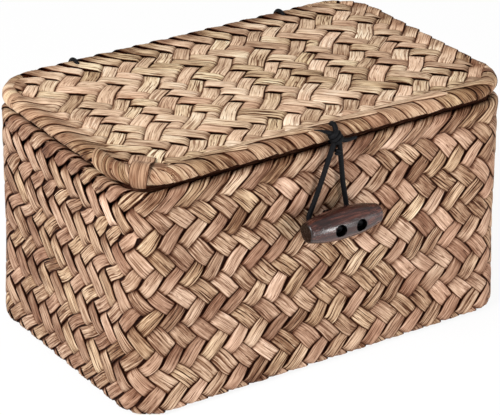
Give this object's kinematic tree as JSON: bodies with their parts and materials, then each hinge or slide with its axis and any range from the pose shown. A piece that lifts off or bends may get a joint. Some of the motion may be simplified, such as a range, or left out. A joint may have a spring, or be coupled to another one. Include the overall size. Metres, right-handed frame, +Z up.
{
  "type": "woven lidded box",
  "caption": "Rectangular box woven from flat leaf strips, with a lid tied on at the back and a wooden toggle and cord loop that hold it shut.",
  "frame": {"origin": "middle of the base, on the surface that the box stands on", "axes": "+X to the right along the front, +Y to the back where the lid is hinged, +Z up"},
  "size_m": [0.25, 0.185, 0.1463],
  "materials": {
    "leaf_strip": "dried leaf strips, satin, with long fibres",
    "leaf_strip_lid": "dried leaf strips, satin, with long fibres",
    "leaf_core": "bundled leaf fibre, matt",
    "black_cord": "waxed twisted cord",
    "toggle_wood": "stained and polished"
  },
  "bodies": {
    "basket": {"basket_shell": "leaf_strip", "basket_rim_hoop": "leaf_core", "basket_rim_fold": "leaf_strip", "hinge_tie_left": "black_cord", "hinge_tie_right": "black_cord"},
    "lid": {"lid_panel": "leaf_strip_lid", "lid_rim_core": "leaf_core", "lid_rim_wrap": "leaf_strip_lid", "lid_corner_bundle": "leaf_core", "lid_corner_strap": "leaf_strip_lid", "loop_lashing": "black_cord"},
    "toggle": {"toggle": "toggle_wood", "toggle_tie": "black_cord"},
    "loop": {"closure_loop": "black_cord"}
  },
  "joints": [
    {"name": "lid_hinge", "type": "hinge", "parent": "basket", "child": "lid", "pos_m": [0, 0.0745, 0.1385], "axis": [-1, 0, 0], "range_deg": [0, 180]},
    {"name": "toggle_turn", "type": "hinge", "parent": "basket", "child": "toggle", "pos_m": [-0.0032, -0.0928, 0.0928], "axis": [0, 1, 0], "range_deg": [-90, 90]},
    {"name": "loop_swing", "type": "hinge", "parent": "lid", "child": "loop", "pos_m": [-0.0005, -0.0818, 0.1385], "axis": [-1, 0, 0], "range_deg": [0, 150], "deforming": ["closure_loop"]}
  ]
}
